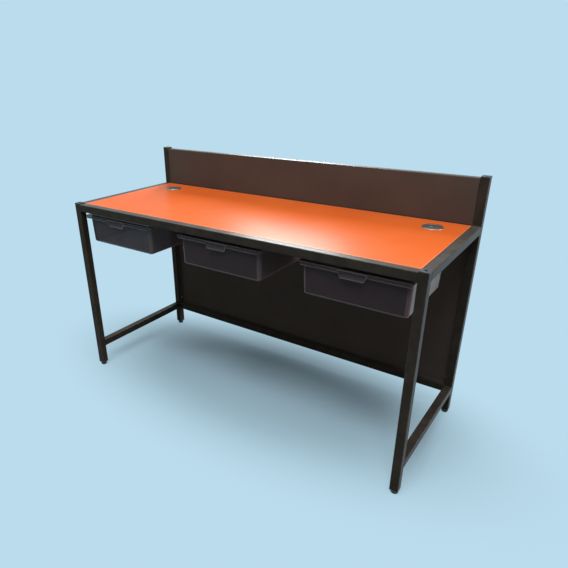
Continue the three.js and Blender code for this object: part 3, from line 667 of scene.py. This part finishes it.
# A tray: the rows of its section at the columns of its plan. A lip hangs from the front of the rim. In the
# middle it drops further and steps forward as the finger pull, whose sides the columns of the grid follow:
# x moves in by taper * drop / pull height.
def tray(node):
    low, high = boxOf(node)
    t = trays
    rim, frontRim, soft = t["rim"], t["frontRim"], t["edge"]
    pullHalf, pullCorner, fade = t["pullHalf"], t["pullCorner"], t["lipFade"]
    frontWall = low[1] + t["pullProud"] + frontRim
    rearWall = high[1] - rim
    centre = np.array([(low[0] + high[0]) / 2, (frontWall + rearWall) / 2])
    half = np.array([(high[0] - low[0]) / 2 - rim, (rearWall - frontWall) / 2])
    tall = high[2] - low[2]
    flat, out = trayColumns(half)
    onFront = out[:, 1] < -0.99999  # the normal points straight to the front
    rimFlat = trayRim(half, flat, out, onFront)

    # how far the lip and the pull hang down at each column, and how far the pull stands out
    inPull = np.where(onFront, pullHalf - np.abs(flat[:, 0]), -1)  # distance in from the pull's side
    isPull = inPull > -tiny
    eased = np.clip(pullCorner - inPull, 0, pullCorner)
    pullDrop = t["pullHeight"] - pullCorner + np.sqrt(np.maximum(pullCorner ** 2 - eased ** 2, 0))
    full = smoothStep((t["lipHalf"] + fade - np.abs(rimFlat[:, 0])) / (2 * fade))
    full = full * (rimFlat[:, 1] < -half[1] - frontRim + t["lipFrom"])
    drop = t["rimThick"] * (1 - full) + np.where(isPull, pullDrop, t["lip"]) * full
    proud = t["pullProud"] * np.sqrt(np.clip(1 - (1 - np.clip(inPull / soft, 0, 1)) ** 2, 0, 1)) * isPull

    outside, lipRows, rimRows, inside = trayRows(tall, full, tall - drop)
    rows = outside + lipRows + rimRows + inside
    lipStart = len(outside)
    rimStart = lipStart + len(lipRows)
    rimEnd = rimStart + len(rimRows)
    share = np.array([row[0] for row in rows])[:, None]
    offset = np.stack([np.broadcast_to(row[1], len(flat)) for row in rows])
    zs = np.stack([np.broadcast_to(row[2], len(flat)) for row in rows])
    spot = (flat + share[..., None] * (rimFlat - flat)) + offset[..., None] * out
    stepped = np.zeros(len(rows))
    stepped[lipStart + 3:rimEnd] = 1  # the rows on the lip's outer face and the rim's edge
    ys = spot[..., 1] - stepped[:, None] * proud
    width = np.abs(flat[:, 0])
    lean = np.where(width < pullHalf, width / pullHalf, 1 - (width - pullHalf) / t["pullSpread"])
    lean = np.sign(flat[:, 0]) * np.clip(lean, 0, 1) * onFront * t["pullTaper"]
    xs = spot[..., 0] - share * lean * (tall - zs) / t["pullHeight"]
    grid = np.stack([xs + centre[0], ys + centre[1], zs + low[2]], -1)

    # painted highlights on the base radius, upright corners, lip, rim and the pull's sides, and a paler
    # painted highlight over the side walls of the tray
    upright = np.abs(out).max(1) < t["flatFrom"]
    paintedLightSides = np.abs(out[:, 0]) > t["flatFrom"]
    shine = np.where(share < 0.5, np.where(upright, t["paleCorner"], paintedLightSides * t["paleSide"]), 0.0)
    shine[2:t["baseSteps"]] = t["paleBase"]
    shine[lipStart + 1:lipStart + 5] = full
    shine[rimStart:rimEnd] = 1
    atSide = (inPull > -t["paleReach"]) & (inPull < soft)
    shine = np.maximum(shine, share * atSide)
    makePiece(node + "_moulded", [(grid, "capped", shine)], node, smokedPlastic, [node],
              sharpAngle=t["sharp"])


for node in ("left_tray", "middle_tray", "right_tray"):
    tray(node)
print("bench: trays made")


runners = {"wall": 1.5 * mm, "flange": 20 * mm, "lip": 7 * mm, "kicker": 5 * mm, "kickerUnder": 5.8 * mm,
           "round": 0.45 * mm, "roundSteps": 2, "stop": 1.5 * mm, "stopInset": 0.2 * mm,
           "stopPast": 0.05 * mm}


# A runner: its section (wall, mounting flange, kicker and lip) carried along Y, with a stop across the
# rear end.
def runner(node, outSide):
    low, high = boxOf(node)
    t = runners
    wall = high[0] if outSide > 0 else low[0]
    tall = high[2] - low[2]
    w, flange, kick, inset = t["wall"], t["flange"], t["kickerUnder"], t["stopInset"]
    lipEnd = -w - t["lip"]
    kickEnd = -w - t["kicker"]
    axes = (outSide * axisX, axisZ, axisY)
    corners = [(0, 0), (0, tall), (-flange, tall), (-flange, tall - w), (-w, tall - w), (-w, kick + w),
               (kickEnd, kick + w), (kickEnd, kick), (-w, kick), (-w, w), (lipEnd, w), (lipEnd, 0)]
    stopCorners = [(-inset, 0), (-inset, kick + w), (lipEnd, kick + w), (lipEnd, 0)]
    grids = []
    for shape, ends in ((corners, (low[1], high[1])),
                        (stopCorners, (high[1] - t["stop"], high[1] + t["stopPast"]))):
        section = roundedPolygon(shape, t["round"], t["roundSteps"])
        grids.append((straightBar(section, ends, axes, (wall, 0, low[2])), "capped", 0))
    makePiece(node + "_extruded", grids, "bench", runnerMetal, [node])


for trayName in ("left_tray", "middle_tray", "right_tray"):
    runner(f"{trayName}_left_runner", -1)
    runner(f"{trayName}_right_runner", 1)
print("bench: runners made")


screws = {"head": 4 * mm, "headTall": 3 * mm, "dome": 0.62, "domeFrom": 4, "domeSteps": 14,
          "soft": 0.2 * mm, "shank": 1.5 * mm, "neck": 0.3 * mm, "thread": 0.35 * mm, "turns": 7,
          "turnSteps": 8, "tip": 0.05 * mm, "crossHalf": 0.7 * mm, "crossReach": 2.3 * mm,
          "crossDeep": 1.5 * mm, "sideFade": 0.3 * mm, "endFade": 0.5 * mm, "steps": 48, "sharp": 45}


# A pan head screw turned about its axis: the head's dome has a cross recess sunk where the nearer of |x|
# and |y| is under half the slot's width and the radius under the recess's reach; the shank's radius ripples
# like a thread.
def screwPiece(node, pointWay):
    low, high = boxOf(node)
    centre = (low + high) / 2
    point = np.asarray(pointWay, float)
    length = abs((high - low) @ point)
    headEnd = centre - point * length / 2
    t = screws
    r, headTall, bolt, soft = t["head"], t["headTall"], t["shank"], t["soft"]
    side = axisZ if abs(point[2]) < 0.5 else axisX
    axes = (side, np.cross(point, side), point)
    domeAngle = np.radians(np.linspace(t["domeFrom"], 90, t["domeSteps"]))
    dome = np.stack([r * np.sin(domeAngle), t["dome"] * headTall * (1 - np.cos(domeAngle))], 1)
    seat = [(r, headTall - soft), (r - soft, headTall), (bolt, headTall)]
    turns = np.linspace(headTall + t["neck"], length - bolt, t["turnSteps"] * t["turns"])
    phase = 2 * math.pi * np.arange(len(turns)) / t["turnSteps"]
    shank = np.stack([bolt - t["thread"] * (0.5 + 0.5 * np.cos(phase)), turns], 1)
    tip = [(0.6 * bolt, length - 0.5 * bolt), (t["tip"], length)]
    grid = turnedRings(np.vstack([dome, seat, shank, tip]), t["steps"], axes, headEnd)
    angle = np.linspace(0, 2 * math.pi, t["steps"], endpoint=False)
    reach = dome[:, 0, None]
    arm = np.minimum(np.abs(reach * np.cos(angle)), np.abs(reach * np.sin(angle)))
    sunk = (smoothStep((t["crossHalf"] - arm) / t["sideFade"] + 0.5)
            * smoothStep((t["crossReach"] - reach) / t["endFade"] + 0.5))
    grid[:len(dome)] += (t["crossDeep"] * sunk)[..., None] * point
    makePiece(node + "_turned", [(grid, "capped", 0)], "bench", screwSteel, [node],
              sharpAngle=t["sharp"])


sidewards = {"modesty_left": (-1, 0, 0), "modesty_right": (1, 0, 0)}  # all other screws point up
for node in sorted(nodes):
    if node.endswith("_screw"):
        screwPiece(node, next((way for start, way in sidewards.items() if node.startswith(start)), axisZ))
print("bench: screws made")


grommets = {"steps": 96, "bore": 25.2 * mm, "sleeve": 29.7 * mm, "seat": 28.2 * mm, "flangeTall": 2.5 * mm,
            "flangeRound": 1.7 * mm, "flangeSteps": 7, "seatRound": 0.5 * mm, "seatSteps": 3,
            "deep": 24 * mm, "laminate": 1 * mm, "seatDrop": 0.5 * mm, "ease": 0.3 * mm, "land": 0.1 * mm,
            "slotHalf": 8.5 * mm, "slotReach": 19 * mm, "slotCorner": 1.0 * mm, "slotSteps": 16,
            "cornerSteps": 5, "discSteps": 80, "edge": 0.7 * mm, "edgeSteps": 4}


# A grommet: its section (sleeve, let-in flange with a rounded edge, seat for the lid) turned about Z.
def grommet(node, material):
    low, high = boxOf(node)
    centre = (low + high) / 2
    t = grommets
    bore, sleeve, seat, ease = t["bore"], t["sleeve"], t["seat"], t["ease"]
    flange = (high[0] - low[0]) / 2
    top = t["flangeTall"]
    r, small, floorZ = t["flangeRound"], t["seatRound"], -t["seatDrop"]
    profile = [(bore, -t["deep"]), (sleeve, -t["deep"]), (sleeve, -t["laminate"]), (flange, -t["laminate"]),
               (flange, top - r - t["land"])]
    profile += arc(flange - r, top - r, r, 0, 90, t["flangeSteps"])
    profile += arc(seat + small, top - small, small, 90, 180, t["seatSteps"])
    profile += [(seat, floorZ), (bore + ease, floorZ), (bore, floorZ - ease)]
    grid = turnedRings(profile, t["steps"], (axisX, axisY, axisZ), (centre[0], centre[1], high[2] - top))
    makePiece(node + "_turned", [(grid, "loop", 0)], "bench", material, [node])


# A lid: a disc outline with a round-ended cable slot cut in from its edge, carried up through a rounded
# top edge.
def grommetLid(node, body, material):
    low, high = boxOf(node)
    t = grommets
    radius = (high[0] - low[0]) / 2
    centre = (low + high) / 2
    slot, corner, edge, ease = t["slotHalf"], t["slotCorner"], t["edge"], t["ease"]
    innerY = t["slotReach"] - radius - slot
    opening = math.asin((slot + corner) / (radius - corner))
    spread = math.degrees(opening)
    cornerX = slot + corner
    cornerY = -(radius - corner) * math.cos(opening)
    halfway = (cornerY + innerY) / 2
    disc = arc(0, 0, radius, -90 + spread, 270 - spread, t["discSteps"])
    leftCorner = arc(-cornerX, cornerY, corner, 270 - spread, 360, t["cornerSteps"])[1:]
    slotEnd = [(-slot, halfway)] + arc(0, innerY, slot, 180, 0, t["slotSteps"]) + [(slot, halfway)]
    rightCorner = arc(cornerX, cornerY, corner, 180, 270 + spread, t["cornerSteps"])[:-1]
    points = np.array(disc + leftCorner + slotEnd + rightCorner)
    ahead = np.roll(points, -1, 0) - np.roll(points, 1, 0)
    normals = np.stack([ahead[:, 1], -ahead[:, 0]], -1) / np.linalg.norm(ahead, axis=1)[:, None]
    tall = high[2] - low[2]
    rings = [(-ease, 0), (0, ease)] + arc(-edge, tall - edge, edge, 0, 90, t["edgeSteps"])
    origin = (centre[0], high[1] - radius, low[2])
    grid = outlineRings(points, normals, rings, (axisX, axisY, axisZ), origin)
    makePiece(node + "_pressed", [(grid, "capped", 0)], body, material, [node])


for side in ("left", "right"):
    low, high = boxOf(f"{side}_grommet")
    metal = satinNickel(f"satin_nickel_{side}", (low + high) / 2)
    grommet(f"{side}_grommet", metal)
    grommetLid(f"{side}_grommet_lid", f"{side}_lid", metal)
print("bench: grommets made")


# the oval's half axes are in metres, and the shadow's entries are shares of it
stage = {"colour": "#BBDCED", "floorHalf": 40.0, "oval": (1.3, 0.58), "shadowNear": 0.35, "shadowFar": 1.05}


# Rays that the viewer sees by: from the camera, through clear plastic, and off metal.
def viewerRays(tree):
    path = addNode(tree, "ShaderNodeLightPath")
    seen = path.outputs["Is Camera Ray"]
    for kind in ("Is Transmission Ray", "Is Glossy Ray"):
        seen = addNode(tree, "ShaderNodeMath", {0: seen, 1: path.outputs[kind]}, operation="MAXIMUM")
    return seen


# Seamless pale paper: a matt floor that takes the shadow near the bench and passes into the plain backdrop.
def paleFloor():
    material, tree, place = newMaterial("pale_paper_sweep")
    acrossX, acrossY = stage["oval"]
    oval = addNode(tree, "ShaderNodeMapping", {"Vector": place}, Scale=(1 / acrossX, 1 / acrossY, 1.0))
    span = addNode(tree, "ShaderNodeVectorMath", {0: oval}, operation="LENGTH").outputs["Value"]
    share = addNode(tree, "ShaderNodeMapRange", {"Value": span}, interpolation_type="SMOOTHSTEP",
                    From_Min=stage["shadowNear"], From_Max=stage["shadowFar"], To_Min=1.0, To_Max=0.0)
    fibre = addNode(tree, "ShaderNodeTexNoise", {"Vector": place}, Scale=1 / (300 * mm), Detail=2.0)
    tone = addNode(tree, "ShaderNodeValToRGB", {"Fac": fibre}, ramp=((0.0, "#C3E6F8"), (1.0, "#C7EAFC")))
    matt = addNode(tree, "ShaderNodeBsdfDiffuse", {"Color": tone})
    glow = addNode(tree, "ShaderNodeEmission", Color=linearColour(stage["colour"]), Strength=1.0)
    mixed = addNode(tree, "ShaderNodeMixShader", {0: share, 1: glow, 2: matt})
    bounce = addNode(tree, "ShaderNodeBsdfDiffuse", Color=linearColour("#8E8D8B"))
    final = addNode(tree, "ShaderNodeMixShader", {0: viewerRays(tree), 1: bounce, 2: mixed})
    addNode(tree, "ShaderNodeOutputMaterial", {0: final})
    return material


floorMesh = bpy.data.meshes.new("studio_floor")
reach = stage["floorHalf"]
floorCorners = [(-reach, -reach, 0), (reach, -reach, 0), (reach, reach, 0), (-reach, reach, 0)]
floorMesh.from_pydata(floorCorners, [], [(0, 1, 2, 3)])
floorMesh.materials.append(paleFloor())
floor = bpy.data.objects.new("studio_floor", floorMesh)
bpy.context.scene.collection.objects.link(floor)

fill = {"colour": "#EEF0F0", "strength": 0.21}
world = bpy.data.worlds.new("studio_world")
bpy.context.scene.world = world
world.use_nodes = True
tree = world.node_tree
tree.nodes.clear()
soft = addNode(tree, "ShaderNodeBackground", Color=linearColour(fill["colour"]), Strength=fill["strength"])
backdrop = addNode(tree, "ShaderNodeBackground", Color=linearColour(stage["colour"]), Strength=1.0)
both = addNode(tree, "ShaderNodeMixShader", {0: viewerRays(tree), 1: soft, 2: backdrop})
addNode(tree, "ShaderNodeOutputWorld", {0: both})

lamps = {
    "window_softbox": {"place": (-2.5, 4.33, 3.4), "aim": (0.0, -0.1, 0.8), "size": (1.4, 3.6),
                       "power": 320, "colour": "#FFFFFF", "floor": False},
    "top_softbox": {"place": (0.4, -0.8, 5.5), "aim": (0.0, 0.0, 0.6), "size": (4.0, 4.0),
                    "power": 90, "colour": "#FFFFFF", "floor": True},
    "front_softbox": {"place": (0.8, -3.0, 5.4), "aim": (0.0, 0.0, 0.7), "size": (3.0, 2.0),
                      "power": 135, "colour": "#FFFFFF", "floor": True},
    "right_softbox": {"place": (4.4, 1.4, 0.9), "aim": (0.7, 0.0, 0.65), "size": (2.0, 1.4),
                      "power": 110, "colour": "#FFD9CC", "floor": False},
}


# The matrix of a lamp or camera from its own right, up and back, and its place.
def standing(right, upward, back, place):
    turn = np.eye(4)
    turn[:3, :3] = np.stack([right, upward, back], 1)
    turn[:3, 3] = place
    return Matrix(turn.tolist())


for name, t in lamps.items():
    light = bpy.data.lights.new(name, "AREA")
    light.shape = "RECTANGLE"
    light.size, light.size_y = t["size"]
    light.energy = t["power"]
    light.color = linearColour(t["colour"])[:3]
    lamp = bpy.data.objects.new(name, light)
    back = np.array(t["place"]) - np.array(t["aim"])
    back /= np.linalg.norm(back)
    right = np.cross(axisZ, back)
    right /= np.linalg.norm(right)
    lamp.matrix_world = standing(right, np.cross(back, right), back, t["place"])
    bpy.context.scene.collection.objects.link(lamp)
    if t["floor"]:
        continue
    # this lamp is kept off the floor, so that the shadow stays under the bench
    keptOff = bpy.data.collections.new(name + "_keeps_off")
    keptOff.objects.link(floor)
    keptOff.collection_objects[0].light_linking.link_state = "EXCLUDE"
    lamp.light_linking.receiver_collection = keptOff

# the photograph's view: place and farthest in metres, heading, tilt and roll in radians, sensor in
# millimetres, the rest in pixels
view = {"place": (1.1096, -1.6012, 1.2798), "heading": -0.6323, "tilt": -0.437, "roll": -0.0151,
        "focal": 511.11, "centre": (247.67, 310.89), "frame": 568, "sensor": 36.0, "farthest": 200}
heading, tilt, roll = view["heading"], view["tilt"], view["roll"]
forward = np.array([math.sin(heading) * math.cos(tilt), math.cos(heading) * math.cos(tilt), math.sin(tilt)])
level = np.array([math.cos(heading), -math.sin(heading), 0])
upright = np.cross(level, forward)
lens = bpy.data.cameras.new("view_camera")
lens.sensor_width = view["sensor"]
lens.lens = view["focal"] * view["sensor"] / view["frame"]
lens.shift_x = (view["frame"] / 2 - view["centre"][0]) / view["frame"]
lens.shift_y = (view["centre"][1] - view["frame"] / 2) / view["frame"]
lens.clip_end = view["farthest"]
camera = bpy.data.objects.new("view_camera", lens)
camera.matrix_world = standing(level * math.cos(roll) + upright * math.sin(roll),
                               -level * math.sin(roll) + upright * math.cos(roll), -forward, view["place"])
bpy.context.scene.collection.objects.link(camera)
bpy.context.scene.camera = camera
bpy.context.scene.view_settings.view_transform = "Standard"

print("bench: stage, light and camera set")
